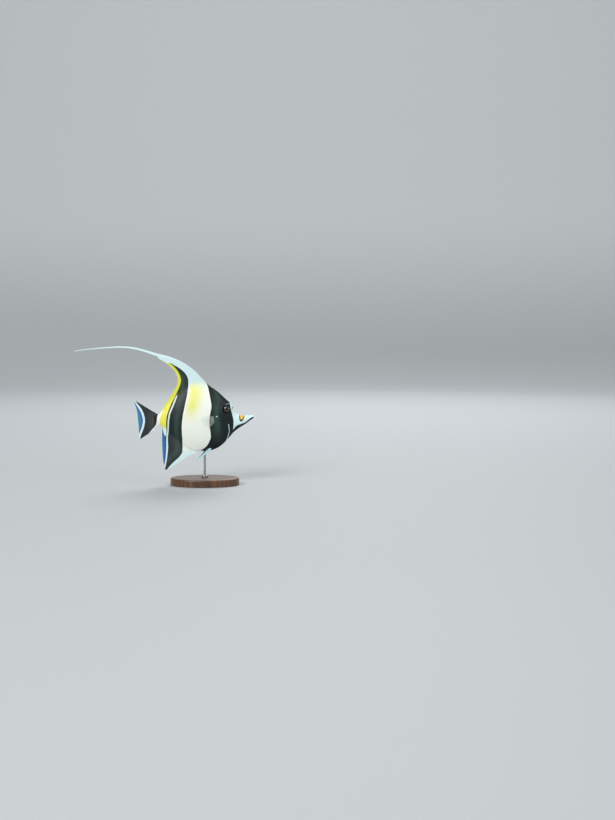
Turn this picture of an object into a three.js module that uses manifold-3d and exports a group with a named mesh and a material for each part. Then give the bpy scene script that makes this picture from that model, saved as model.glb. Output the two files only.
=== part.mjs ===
// A life-size moorish idol, swimming to the right, held by a plain display stand.
// Millimetres, +Z up, the head towards +X, the left flank towards +Y.
// The origin is the middle of the stand's underside.
import * as THREE from "three";
import { mergeVertices } from "three/addons/utils/BufferGeometryUtils.js";
import { LoftGeometry } from "three/addons/geometries/LoftGeometry.js";
import Module from "manifold-3d";

const wasm = await Module();
wasm.setup();

// Driving dimensions.
const gap = 0.3;
const fishLift = 55.7;
const snoutX = 80.4;
const peduncleX = -76.4;
const baseSize = { length: 112, width: 80, height: 12, round: 2 };
const rodRadius = 2;
const collar = { radius: 5, height: 4 };

// The fish is drawn in its own frame: zero is the point of the belly that rests on the rod.
// Each outline below lists [forward, up], in the order of growing x.
const backPoints = [
  [-76.4, 59.6], [-71.5, 61.6], [-61.8, 70.9], [-47, 85.6], [-26, 101.2], [-6.5, 107],
  [11.4, 103.6], [22.8, 95.8], [33.5, 85.8], [41, 79], [44.4, 74.6], [46.2, 69.8], [48.75, 65.1],
  [51.2, 61.8], [54.5, 59.4], [59, 58.2], [65, 57.6], [70, 57.5], [74.5, 57.5], [77.6, 57.8],
  [79.4, 57.3], [80.4, 56.2],
];
const bellyPoints = [
  [-76.4, 41.4], [-71.5, 41.5], [-66, 38.4], [-55.3, 29], [-35.8, 13], [-16.3, 2.4], [0, 0],
  [16.3, 2.9], [29.3, 10.8], [39, 21.1], [48.8, 31.8], [58.5, 39],
  [68.3, 45.2], [74.8, 50.4], [78.2, 52.5], [80.4, 54.4],
];
const halfWidthPoints = [
  [-76.4, 3.2], [-71, 3.6], [-62, 4.7], [-47, 7], [-26, 10.2], [-6, 12.4], [12, 13], [26, 12.2],
  [36, 10.6], [46, 8.2], [54, 6.3], [62, 5], [70, 4], [76, 3.3], [78.6, 3], [80.4, 1.7],
];
// How high the widest level lies, as a share of the way from belly to back.
const widestPoints = [[-76.4, 0.5], [-40, 0.52], [0, 0.5], [24, 0.5], [44, 0.5], [64, 0.5], [80.4, 0.5]];
// How full a section is: 0.5 is an ellipse, and 1 is a thin lens.
const fullnessPoints = [[-76.4, 0.6], [-50, 0.72], [0, 0.8], [20, 0.74], [40, 0.62], [60, 0.52], [80.4, 0.5]];
// Half the width of the ridge along back and belly, where the fins stand.
const ridgePoints = [[-76.4, 1.1], [-40, 1.05], [10, 1.1], [30, 1], [80.4, 0.8]];

// The edges of the bands, from top to bottom.
const faceEdge = [
  [39.4, 86], [41.5, 77], [43.4, 68], [45.2, 61.4], [46.4, 56], [47.5, 50.4], [47.6, 44.6], [47, 38], [45.6, 24],
];
const gillEdge = [[14, 114], [19, 101], [23.5, 86], [26.2, 70], [27, 56], [28.4, 44], [33, 32], [40.5, 20], [48, 8]];
const whiteFront = [
  [-3, 120], [2.6, 111.3], [5.4, 106], [8.3, 95], [10.6, 84], [12.2, 73], [10.4, 62.6], [8.7, 50.4],
  [9.6, 38.2], [10.8, 25], [9.4, 18.7], [4.5, 9.4], [-1.9, 3.6], [-12, -3],
];
const whiteRear = [
  [-90, 136], [-74, 140.6], [-64, 142.6], [-56, 142.8], [-48.6, 139.5], [-40.1, 134.5], [-31.6, 127],
  [-26.6, 118], [-26, 108], [-26.9, 96.7], [-28.9, 84.5], [-32, 70], [-34.8, 55.3], [-36.4, 38.2],
  [-35.9, 18.7], [-36.3, 0], [-37.7, -4.6], [-41.8, -10.3], [-47.9, -15.8], [-54, -21.7], [-59, -27.2],
  [-66, -36],
];
const darkRear = [[-36, 104], [-41.5, 92], [-48, 80.5], [-53, 67.4], [-56.2, 55.3], [-57, 41], [-57.6, 31], [-58.6, 14]];

// Where the rear of the dorsal fin is divided, along a ray.
const dorsalDivide = [[-90, 128], [-60, 123], [-44, 118.4], [-33, 113], [-22, 104], [-10, 90]];

// Median fins.
const dorsal = {
  rootFront: 12.2,
  rootRear: -71.4,
  leading: [
    [12.2, 103.7], [5.6, 109], [-1.8, 116.4], [-11.3, 126.4], [-21.8, 136], [-31.8, 142.6], [-45.3, 149.2],
    [-59, 154.1], [-75.75, 158],
  ],
  trailing: [
    [-77.05, 153.7], [-74, 150], [-68.3, 146.6], [-61.4, 142.4], [-54.4, 136.6], [-47, 128], [-43.1, 117],
    [-44.4, 107.4], [-50.3, 96.7], [-57.4, 86], [-64, 75.2], [-69.4, 66.6], [-72, 63],
  ],
  bannerEnd: 0.06,
  rays: 24,
  rows: 8,
  half: { root: 1.15, margin: 0.3 },
};
const anal = {
  rootFront: -6.5,
  rootRear: -68.3,
  leading: [[-6.5, 0], [-15, -3.2], [-26, -8.6], [-40.6, -18.6], [-53, -27], [-62.4, -31.9]],
  trailing: [[-65.2, -29.8], [-67.2, -20], [-68.4, -9], [-69.2, 4], [-69.5, 17], [-69.2, 29], [-68.8, 38.8]],
  bannerEnd: 0.04,
  rays: 20,
  rows: 7,
  half: { root: 1.1, margin: 0.3 },
};
const caudal = {
  upper: [[-76.4, 59.4], [-88.6, 66.6], [-102.6, 75.1], [-116.6, 83.2]],
  lower: [[-76.4, 41.4], [-84.5, 33.2], [-95, 25.4], [-107.6, 17.4]],
  rear: [[-116.6, 83.2], [-111, 66.5], [-108.8, 49], [-107.6, 33], [-107.6, 17.4]],
  rays: 15,
  rows: 7,
  half: { root: 2.7, margin: 0.3 },
};
const filament = {
  line: [
    [-76.4, 155.85], [-84.5, 158.4], [-97.5, 162.5], [-110.5, 165.9], [-123.5, 168], [-136.5, 168.6],
    [-151, 168], [-168, 167], [-191.5, 164.8], [-209.5, 162.2],
  ],
  halfHeight: [2.25, 0.45],
  halfThick: [0.8, 0.3],
  lengths: 3,
  steps: 12,
  sway: 9,
};

// Paired fins and the face.
const pectoral = {
  root: [20.5, 54], rootHeight: 5.4, length: 27, fanDown: 30, fanUp: 17, longest: 0.62, flare: 30, droop: 12,
  rays: 11, rows: 6,
};
const pelvic = { root: [9.4, 5.6], rootLength: 5.5, length: 35, spread: 8, flare: 13, droop: 42, rays: 5, rows: 7 };
const eye = { at: [36.2, 67.8], radius: 6.2, bulge: 3.4, proud: 1.1, rim: 0.55 };
const horn = { at: [44.6, 69.4], length: 3.6, radius: 1.5, lean: 28 };
const nostril = { at: [[46.8, 62.8], [49, 60.8]], radius: 0.55, depth: 1.4 };
const mouthLine = [[84, 56], [76.6, 54.5], [73.2, 52.7], [69, 48.9], [64.5, 46], [60.5, 36]];
const gill = { lift: 0.55, reach: 7 };

// The tail swings a little to the fish's left.
const swing = { start: -30, tailEnd: -114, reach: 7 };
const swayAt = (x) => {
  const share = Math.max(0, (swing.start - x) / (swing.start - swing.tailEnd));
  return swing.reach * share * share;
};

const colours = {
  white: { color: 0xe6ecdc, roughness: 0.45 },
  black: { color: 0x16201e, roughness: 0.4 },
  yellow: { color: 0xe6e071, roughness: 0.45 },
  clear: { color: 0xb9d2cf, roughness: 0.35 },
  eye: { color: 0x171310, roughness: 0.12 },
  bone: { color: 0x2a302c, roughness: 0.5 },
  wood: { color: 0x5b4330, roughness: 0.5 },
  steel: { color: 0xb8bcc0, roughness: 0.25, metalness: 1 },
};

// A smooth height for any x through points that are listed in the order of x.
function profile(points) {
  const slope = (a, b) => (b[1] - a[1]) / (b[0] - a[0]);
  const tangents = points.map((p, i) => {
    const before = slope(points[Math.max(i - 1, 0)], points[Math.max(i, 1)]);
    const last = points.length - 1;
    const after = slope(points[Math.min(i, last - 1)], points[Math.min(i + 1, last)]);
    return (before + after) / 2;
  });
  return (x) => {
    let i = 0;
    while (i < points.length - 2 && x > points[i + 1][0]) i += 1;
    const width = points[i + 1][0] - points[i][0];
    const t = Math.min(1, Math.max(0, (x - points[i][0]) / width));
    const s = 1 - t;
    return (
      points[i][1] * (1 + 2 * t) * s * s +
      tangents[i] * width * t * s * s +
      points[i + 1][1] * (3 - 2 * t) * t * t -
      tangents[i + 1] * width * t * t * s
    );
  };
}

const back = profile(backPoints);
const belly = profile(bellyPoints);
const halfWidth = profile(halfWidthPoints);
const widest = profile(widestPoints);
const fullness = profile(fullnessPoints);
const ridge = profile(ridgePoints);

const spline = (points) => new THREE.SplineCurve(points.map((p) => new THREE.Vector2(...p)));
const mix = (a, b, t) => a + (b - a) * t;

// Half the body's thickness at any point of its side.
function flankDepth(x, z) {
  const middle = mix(belly(x), back(x), widest(x));
  const reach = z > middle ? back(x) - middle : middle - belly(x);
  const level = Math.min(1, Math.abs(z - middle) / reach);
  return ridge(x) + (halfWidth(x) - ridge(x)) * (1 - level * level) ** fullness(x);
}

// The gill cover stands a little proud along its rear edge.
const gillAt = profile(gillEdge.map(([x, z]) => [z, x]).reverse());
function gillLift(x, z) {
  const ahead = x - gillAt(z);
  return ahead < 0 ? 0 : gill.lift * Math.max(0, 1 - ahead / gill.reach);
}

// One section of the body, counter-clockwise as seen from the head.
function section(x, grow, lifted) {
  const steps = 14;
  const top = back(x) + grow;
  const bottom = belly(x) - grow;
  const middle = mix(bottom, top, widest(x));
  const side = [];
  for (let i = 0; i <= steps; i += 1) {
    const angle = (i / steps) * Math.PI;
    const level = Math.cos(angle);
    const z = level > 0 ? mix(middle, top, level) : mix(middle, bottom, -level);
    const round = Math.sin(angle) ** (2 * fullness(x));
    const lift = lifted ? gillLift(x, z) * Math.sin(angle) : 0;
    side.push([ridge(x) + (halfWidth(x) - ridge(x)) * round + grow + lift, z]);
  }
  const near = side.map(([y, z]) => new THREE.Vector3(x, -y, z));
  const far = side.map(([y, z]) => new THREE.Vector3(x, y, z)).reverse();
  return [...near, ...far];
}

const bodyStations = [];
for (let x = peduncleX; x < 24; x += 5) bodyStations.push(x);
for (let x = 24; x < 74; x += 3) bodyStations.push(x);
bodyStations.push(74, 76, 77.6, 79.2, snoutX);

function bodySolid(grow = 0, lifted = false) {
  const sections = bodyStations.map((x) => section(x, grow, lifted));
  return solidOf(new LoftGeometry(sections, { capStart: true, capEnd: true }));
}

// A closed geometry as a solid, its faces turned outwards and its collapsed triangles dropped.
function solidOf(geometry) {
  const bare = new THREE.BufferGeometry();
  bare.setAttribute("position", geometry.getAttribute("position").clone());
  if (geometry.index) bare.setIndex(geometry.index.clone());
  const merged = mergeVertices(bare, 1e-3);
  const p = merged.attributes.position.array;
  const index = merged.index.array;
  const corner = (i) => new THREE.Vector3(p[3 * i], p[3 * i + 1], p[3 * i + 2]);
  const kept = [];
  let volume = 0;
  for (let i = 0; i < index.length; i += 3) {
    const [a, b, c] = [index[i], index[i + 1], index[i + 2]];
    if (a === b || b === c || a === c) continue;
    kept.push([a, b, c]);
    volume += corner(a).dot(corner(b).cross(corner(c)));
  }
  const outward = kept.map(([a, b, c]) => (volume < 0 ? [a, c, b] : [a, b, c]));
  const mesh = new wasm.Mesh({ numProp: 3, vertProperties: p, triVerts: new Uint32Array(outward.flat()) });
  return new wasm.Manifold(mesh);
}

const largest = (solid) => solid.decompose().sort((a, b) => b.volume() - a.volume())[0];

// A thin plate over a grid: point gives its middle surface and offset half its thickness.
function plate(columns, rows, point, offset) {
  const positions = [];
  for (const side of [-1, 1]) {
    for (let j = 0; j <= rows; j += 1) {
      for (let i = 0; i <= columns; i += 1) {
        positions.push(...point(i / columns, j / rows).addScaledVector(offset(i, j / rows), side));
      }
    }
  }
  const far = (columns + 1) * (rows + 1);
  const at = (i, j, side) => side * far + j * (columns + 1) + i;
  const index = [];
  for (let j = 0; j < rows; j += 1) {
    for (let i = 0; i < columns; i += 1) {
      const [a, b, c, d] = [at(i, j, 0), at(i + 1, j, 0), at(i + 1, j + 1, 0), at(i, j + 1, 0)];
      index.push(a, b, c, a, c, d);
      index.push(a + far, c + far, b + far, a + far, d + far, c + far);
    }
  }
  const rim = [];
  for (let i = 0; i < columns; i += 1) rim.push([at(i, 0, 0), at(i + 1, 0, 0)]);
  for (let j = 0; j < rows; j += 1) rim.push([at(columns, j, 0), at(columns, j + 1, 0)]);
  for (let i = columns; i > 0; i -= 1) rim.push([at(i, rows, 0), at(i - 1, rows, 0)]);
  for (let j = rows; j > 0; j -= 1) rim.push([at(0, j, 0), at(0, j - 1, 0)]);
  for (const [a, b] of rim) index.push(a, b + far, b, a, a + far, b + far);
  const geometry = new THREE.BufferGeometry();
  geometry.setAttribute("position", new THREE.Float32BufferAttribute(positions, 3));
  geometry.setIndex(index);
  return solidOf(geometry);
}

// Every second column of a fin is a ray, which stands proud of the membrane.
const rayHeight = (column, v, half) => mix(half.root, half.margin, v ** 0.6) * (column % 2 ? 1 : mix(0.75, 0.85, v));

// A median fin: its rays run from the body's ridge to the fin's margin, bowed like the leading edge.
function medianFin(fin, rootHeight) {
  const leading = spline(fin.leading);
  const trailing = spline(fin.trailing);
  const tip = leading.getPoint(1);
  const first = leading.getPoint(0);
  const margin = (u) =>
    u < fin.bannerEnd
      ? tip.clone().lerp(trailing.getPoint(0), u / fin.bannerEnd)
      : trailing.getPoint((u - fin.bannerEnd) / (1 - fin.bannerEnd));
  const point = (u, v) => {
    const x = mix(fin.rootFront, fin.rootRear, u);
    const root = new THREE.Vector2(x, rootHeight(x));
    const straight = root.clone().lerp(margin(u), v);
    const bow = leading.getPoint(v).sub(first.clone().lerp(tip, v));
    const at = straight.addScaledVector(bow, (1 - u) ** 1.5);
    return new THREE.Vector3(at.x, 0, at.y);
  };
  const offset = (column, v) => new THREE.Vector3(0, rayHeight(column, v, fin.half), 0);
  return plate(2 * fin.rays, fin.rows, point, offset);
}

function tailFin() {
  const upper = spline(caudal.upper);
  const lower = spline(caudal.lower);
  const rear = spline(caudal.rear);
  const root = upper.getPoint(0).x - gap;
  const point = (u, v) => {
    const top = upper.getPoint(v);
    const bottom = lower.getPoint(v);
    const end = rear.getPoint(u);
    const flat = upper.getPoint(1).lerp(lower.getPoint(1), u);
    const at = top.lerp(bottom, u).add(end.sub(flat).multiplyScalar(v));
    return new THREE.Vector3(Math.min(at.x, root), 0, at.y);
  };
  const offset = (column, v) => {
    const thick = mix(caudal.half.root, caudal.half.margin, Math.min(1, v * 1.15) ** 0.45);
    return new THREE.Vector3(0, thick * (column % 2 ? 1 : mix(0.9, 0.7, v)), 0);
  };
  return plate(2 * caudal.rays, caudal.rows, point, offset);
}

// A paired fin: a fan on one side of the body. side is -1 on the fish's right and 1 on its left.
function pairedFin(fin, rootPoint, along, across, normal, outline) {
  const half = { root: 0.6, margin: 0.28 };
  const point = (u, v) => {
    const [reach, shift] = outline(u, v);
    return rootPoint.clone().addScaledVector(along, reach).addScaledVector(across, shift);
  };
  const offset = (column, v) => normal.clone().multiplyScalar(rayHeight(column, v, half));
  return plate(2 * fin.rays, fin.rows, point, offset);
}

function pectoralFin(side) {
  const [x, z] = pectoral.root;
  const flare = THREE.MathUtils.degToRad(pectoral.flare);
  const droop = THREE.MathUtils.degToRad(pectoral.droop);
  const along = new THREE.Vector3(-Math.cos(flare) * Math.cos(droop), side * Math.sin(flare), -Math.sin(droop));
  along.normalize();
  const across = new THREE.Vector3(-Math.sin(droop), 0, Math.cos(droop)).normalize();
  const normal = along.clone().cross(across).normalize();
  const root = new THREE.Vector3(x, side * (flankDepth(x, z) - 2.5), z);
  const outline = (u, v) => {
    const fan = THREE.MathUtils.degToRad(mix(-pectoral.fanDown, pectoral.fanUp, u));
    const length = v * pectoral.length * (1 - 0.9 * (u - pectoral.longest) ** 2);
    return [length * Math.cos(fan), length * Math.sin(fan) + (u - 0.5) * pectoral.rootHeight];
  };
  return pairedFin(pectoral, root, along, across, normal, outline);
}

function pelvicFin(side) {
  const [x, z] = pelvic.root;
  const flare = THREE.MathUtils.degToRad(pelvic.flare);
  const droop = THREE.MathUtils.degToRad(pelvic.droop);
  const along = new THREE.Vector3(-Math.cos(droop), side * Math.tan(flare), -Math.sin(droop)).normalize();
  const across = new THREE.Vector3(Math.sin(droop), side * 0.35, -Math.cos(droop)).normalize();
  const normal = along.clone().cross(across).normalize();
  const root = new THREE.Vector3(x, side * (flankDepth(x, z) - 1.2), z);
  const outline = (u, v) => {
    const length = pelvic.length * mix(0.55, 1, u ** 0.7);
    const width = mix(pelvic.rootLength, pelvic.spread * (1 - v) + 1.5, Math.min(1, 2 * v));
    return [v * length, (u - 0.5) * width];
  };
  return pairedFin(pelvic, root, along, across, normal, outline);
}

// The long streamer of the dorsal fin, one length of it.
function streamer(index) {
  const line = spline(filament.line);
  const length = line.getLength();
  const from = index / filament.lengths + (index ? gap / 2 : gap) / length;
  const to = (index + 1) / filament.lengths - (index + 1 < filament.lengths ? gap / 2 : 0) / length;
  const sides = 8;
  const sections = [];
  for (let i = 0; i <= filament.steps; i += 1) {
    const t = mix(from, to, i / filament.steps);
    const at = line.getPointAt(t);
    const tangent = line.getTangentAt(t);
    const tip = Math.min(1, (1 - t) / 0.03 + 0.25);
    const high = mix(...filament.halfHeight, t ** 0.7) * tip;
    const thick = mix(...filament.halfThick, t ** 0.7) * tip;
    const ring = [];
    for (let k = 0; k < sides; k += 1) {
      const angle = (-k / sides) * 2 * Math.PI;
      const up = Math.cos(angle) * high;
      const out = Math.sin(angle) * thick + streamerSway(at.x);
      ring.push(new THREE.Vector3(at.x - tangent.y * up, out, at.y + tangent.x * up));
    }
    sections.push(ring);
  }
  return solidOf(new LoftGeometry(sections, { capStart: true, capEnd: true }));
}

// The streamer leaves the fin in line with it, then curls gently back the other way.
function streamerSway(x) {
  const start = filament.line[0][0];
  const share = (start - x) / (start - filament.line.at(-1)[0]);
  const slope = (swayAt(start - 1) - swayAt(start)) * (start - filament.line.at(-1)[0]);
  return swayAt(start) + slope * share * (1 - share) - filament.sway * share * share;
}

// Everything ahead of a band edge (side 1) or behind it (side -1), as a slab across the whole fish.
function partedBy(edge, side) {
  const points = spline(edge).getPoints(2 * (edge.length - 1));
  const shifted = points.map((p, i) => {
    const along = points[Math.min(i + 1, points.length - 1)].clone().sub(points[Math.max(i - 1, 0)]).normalize();
    return p.clone().add(new THREE.Vector2(-along.y, along.x).multiplyScalar((side * gap) / 2));
  });
  const [top, bottom] = [shifted[0], shifted.at(-1)];
  const corners = [[bottom.x, -80], [side * 300, -80], [side * 300, 240], [top.x, 240]];
  return slabOf([...shifted, ...corners.map((p) => new THREE.Vector2(...p))], 60);
}
const ahead = (edge) => partedBy(edge, 1);
const behind = (edge) => partedBy(edge, -1);

function slabOf(points, reach) {
  const slab = new THREE.ExtrudeGeometry(new THREE.Shape(points), { depth: 2 * reach, bevelEnabled: false });
  return solidOf(slab.rotateX(Math.PI / 2).translate(0, reach, 0));
}

const wedge = (points) => slabOf(points.map((p) => new THREE.Vector2(...p)), 20);

function ball(x, y, z, radius, depth, grow = 0) {
  const sphere = new THREE.SphereGeometry(1, 20, 12);
  sphere.scale(radius + grow, depth + grow, radius + grow);
  return solidOf(sphere.translate(x, y, z));
}

const eyeCentre = (side) => {
  const [x, z] = eye.at;
  return [x, side * (flankDepth(x, z) + eye.proud - eye.bulge), z];
};

function headSolid() {
  let head = bodySolid(0, true);
  for (const side of [-1, 1]) {
    const [x, y, z] = eyeCentre(side);
    const rim = new THREE.TorusGeometry(eye.radius + 0.2, eye.rim + 0.35, 6, 20);
    rim.rotateX(Math.PI / 2).translate(x, side * (flankDepth(x, z) - 0.35), z);
    head = head.add(solidOf(rim)).subtract(ball(x, y, z, eye.radius, eye.bulge, gap));
    for (const [nx, nz] of nostril.at) {
      const pit = new THREE.CylinderGeometry(nostril.radius, nostril.radius, 2 * nostril.depth, 8);
      head = head.subtract(solidOf(pit.translate(nx, side * flankDepth(nx, nz), nz)));
    }
  }
  return head;
}

function hornSolid(side) {
  const [x, z] = horn.at;
  const cone = new THREE.CylinderGeometry(0.25, horn.radius, horn.length + 2, 10, 1);
  cone.translate(0, horn.length / 2 - 1, 0).rotateZ(THREE.MathUtils.degToRad(-horn.lean));
  cone.rotateX(side * Math.PI / 4).translate(x, side * (flankDepth(x, z) - 0.2), z);
  return largest(solidOf(cone).subtract(bodySolid(gap)));
}

const fish = new THREE.Group();
fish.name = "moorish_idol";
fish.position.z = fishLift;
const part = new THREE.Group();
part.add(fish);

function addSolid(group, name, solid, colour, bent = true) {
  const mesh = largest(solid).getMesh();
  const positions = new Float32Array(mesh.numVert * 3);
  for (let i = 0; i < mesh.numVert; i += 1) {
    const [x, y, z] = mesh.vertProperties.subarray(i * mesh.numProp, i * mesh.numProp + 3);
    positions.set([x, y + (bent ? swayAt(x) : 0), z], 3 * i);
  }
  const geometry = new THREE.BufferGeometry();
  geometry.setAttribute("position", new THREE.BufferAttribute(positions, 3));
  geometry.setIndex(new THREE.BufferAttribute(mesh.triVerts, 1));
  geometry.computeVertexNormals();
  const material = new THREE.MeshStandardMaterial(colours[colour]);
  const made = new THREE.Mesh(geometry, material);
  made.name = name;
  group.add(made);
  return made;
}

// The head, its face and its jaw.
const jaw = wedge([...mouthLine, [84, 36]]);
const jawCut = wedge([...mouthLine.map(([x, z]) => [x - gap, z + gap]), [60, 36], [84, 36]]);
const horns = [-1, 1].map((side) => hornSolid(side));
const wholeHead = headSolid();
addSolid(fish, "snout", wholeHead.intersect(ahead(faceEdge)).subtract(jawCut), "white");
addSolid(fish, "lower_jaw", wholeHead.intersect(jaw), "black");
addSolid(fish, "head", wholeHead.intersect(behind(faceEdge)).intersect(ahead(gillEdge)), "black");
for (const [i, side] of ["right", "left"].entries()) {
  const centre = eyeCentre(i ? 1 : -1);
  addSolid(fish, `eye_${side}`, ball(...centre, eye.radius, eye.bulge), "eye");
  addSolid(fish, `horn_${side}`, horns[i], "bone");
}

// The trunk, band by band, and the root of the tail.
const trunk = bodySolid();
addSolid(fish, "trunk_shoulder", trunk.intersect(behind(gillEdge)).intersect(ahead(whiteFront)), "black");
addSolid(fish, "trunk_flank", trunk.intersect(behind(whiteFront)).intersect(ahead(whiteRear)), "white");
addSolid(fish, "trunk_rear", trunk.intersect(behind(whiteRear)).intersect(ahead(darkRear)), "black");
addSolid(fish, "tail_peduncle", trunk.intersect(behind(darkRear)), "yellow");

// The fins of the middle line.
const dorsalPlate = medianFin(dorsal, (x) => back(x) + gap);
const analPlate = medianFin(anal, (x) => belly(x) - gap);
addSolid(fish, "dorsal_fin_banner", dorsalPlate.intersect(ahead(whiteRear)), "white");
const dorsalRear = dorsalPlate.intersect(behind(whiteRear));
addSolid(fish, "dorsal_fin_middle", dorsalRear.intersect(ahead(dorsalDivide)), "black");
addSolid(fish, "dorsal_fin_rear", dorsalRear.intersect(behind(dorsalDivide)), "black");
addSolid(fish, "anal_fin_front", analPlate.intersect(ahead(whiteRear)), "white");
addSolid(fish, "anal_fin_rear", analPlate.intersect(behind(whiteRear)), "black");
addSolid(fish, "caudal_fin", tailFin(), "black");
for (let i = 0; i < filament.lengths; i += 1) {
  addSolid(fish, `dorsal_streamer_${i + 1}`, streamer(i), "white", false);
}

// The paired fins, with their roots cut to the body.
const around = bodySolid(gap);
for (const [i, side] of ["right", "left"].entries()) {
  const sign = i ? 1 : -1;
  addSolid(fish, `pectoral_fin_${side}`, pectoralFin(sign).subtract(around), "clear");
  addSolid(fish, `pelvic_fin_${side}`, pelvicFin(sign).subtract(around), "black");
}

// The stand: an oval base, a collar, and a rod that ends just under the belly.
function standBase() {
  const { length, width, height, round } = baseSize;
  const oval = new THREE.Shape().absellipse(0, 0, length / 2 - round, width / 2 - round, 0, 2 * Math.PI);
  const bevel = { depth: height - 2 * round, bevelThickness: round, bevelSize: round, bevelSegments: 3 };
  return solidOf(new THREE.ExtrudeGeometry(oval, { ...bevel, curveSegments: 24 }).translate(0, 0, round));
}

function standRod() {
  const top = fishLift + 6;
  const bottom = baseSize.height + gap;
  const rod = new THREE.CylinderGeometry(rodRadius, rodRadius, top - bottom, 20);
  rod.rotateX(Math.PI / 2).translate(0, 0, (top + bottom) / 2);
  return largest(solidOf(rod).subtract(around.translate([0, 0, fishLift])));
}

function standCollar() {
  const inner = rodRadius + gap;
  const low = baseSize.height + gap;
  const outline = [
    [inner, low], [collar.radius, low], [collar.radius, low + collar.height - 1],
    [collar.radius - 1, low + collar.height], [inner, low + collar.height], [inner, low],
  ];
  const ring = new THREE.LatheGeometry(outline.map((p) => new THREE.Vector2(...p)), 28);
  return solidOf(ring.rotateX(Math.PI / 2));
}

addSolid(part, "stand_base", standBase(), "wood", false);
addSolid(part, "stand_rod", standRod(), "steel", false);
addSolid(part, "stand_collar", standCollar(), "steel", false);

export default part;
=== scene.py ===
import math

import bmesh
import bpy
import numpy as np
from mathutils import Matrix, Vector


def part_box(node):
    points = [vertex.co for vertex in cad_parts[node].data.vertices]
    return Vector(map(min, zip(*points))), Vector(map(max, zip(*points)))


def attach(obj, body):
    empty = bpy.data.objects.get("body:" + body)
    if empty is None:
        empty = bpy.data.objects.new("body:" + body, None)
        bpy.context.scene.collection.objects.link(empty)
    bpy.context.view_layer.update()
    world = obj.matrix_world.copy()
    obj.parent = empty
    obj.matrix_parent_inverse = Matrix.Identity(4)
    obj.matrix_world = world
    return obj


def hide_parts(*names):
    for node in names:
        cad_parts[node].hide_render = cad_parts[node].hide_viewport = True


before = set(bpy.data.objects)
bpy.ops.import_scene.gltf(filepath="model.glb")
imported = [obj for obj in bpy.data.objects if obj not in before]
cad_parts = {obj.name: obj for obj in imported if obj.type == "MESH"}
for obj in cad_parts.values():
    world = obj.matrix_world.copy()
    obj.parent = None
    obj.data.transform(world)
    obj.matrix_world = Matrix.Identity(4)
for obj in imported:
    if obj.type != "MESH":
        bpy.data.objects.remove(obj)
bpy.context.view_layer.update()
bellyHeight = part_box("trunk_shoulder")[0].z  # metres, where the fish's zero lies above the table
mm = 0.001
print("frame loaded, belly point at %.1f mm" % (bellyHeight / mm))


# Curves through a few marks

def profile(points):
    xs, ys = np.array(points, float).T
    slopes = np.diff(ys) / np.diff(xs)
    ends = np.concatenate([slopes[:1], (slopes[:-1] + slopes[1:]) / 2, slopes[-1:]])

    def at(x):
        x = np.clip(np.asarray(x, float), xs[0], xs[-1])
        i = np.clip(np.searchsorted(xs, x, side="right") - 1, 0, len(xs) - 2)
        width = xs[i + 1] - xs[i]
        t = (x - xs[i]) / width
        s = 1 - t
        return (ys[i] * (1 + 2 * t) * s * s + ends[i] * width * t * s * s
                + ys[i + 1] * (3 - 2 * t) * t * t - ends[i + 1] * width * t * t * s)
    return at


def curve(points):
    p = np.array(points, float)
    last = len(p) - 1

    def at(t):
        s = np.clip(np.asarray(t, float), 0, 1) * last
        i = np.minimum(s.astype(int), last - 1)
        w = (s - i)[..., None]
        before, a, b, after = p[np.maximum(i - 1, 0)], p[i], p[i + 1], p[np.minimum(i + 2, last)]
        v0, v1 = (b - before) / 2, (after - a) / 2
        return (2 * a - 2 * b + v0 + v1) * w ** 3 + (3 * b - 3 * a - 2 * v0 - v1) * w ** 2 + v0 * w + a
    return at


def mix(a, b, t):
    return a + (b - a) * t


def smooth(value, low, high):
    t = np.clip((np.asarray(value, float) - low) / (high - low), 0, 1)
    return t * t * (3 - 2 * t)


def hill(distance, width):
    return np.exp(-(distance / width) ** 2)


# How far each point lies from a drawn line, positive on the line's left as it is walked
def sideDistance(marked, x, z, steps=6):
    line = curve(marked)(np.linspace(0, 1, steps * (len(marked) - 1) + 1))
    best = np.full(x.shape, 1e9)
    signed = np.zeros(x.shape)
    for (ax, az), (bx, bz) in zip(line[:-1], line[1:]):
        dx, dz = bx - ax, bz - az
        t = np.clip(((x - ax) * dx + (z - az) * dz) / (dx * dx + dz * dz), 0, 1)
        ox, oz = x - ax - t * dx, z - az - t * dz
        far = ox * ox + oz * oz
        closer = far < best - 1e-9
        best = np.where(closer, far, best)
        signed = np.where(closer, np.sign(dx * oz - dz * ox), signed)
    return np.sqrt(best) * signed


# The body

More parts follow.
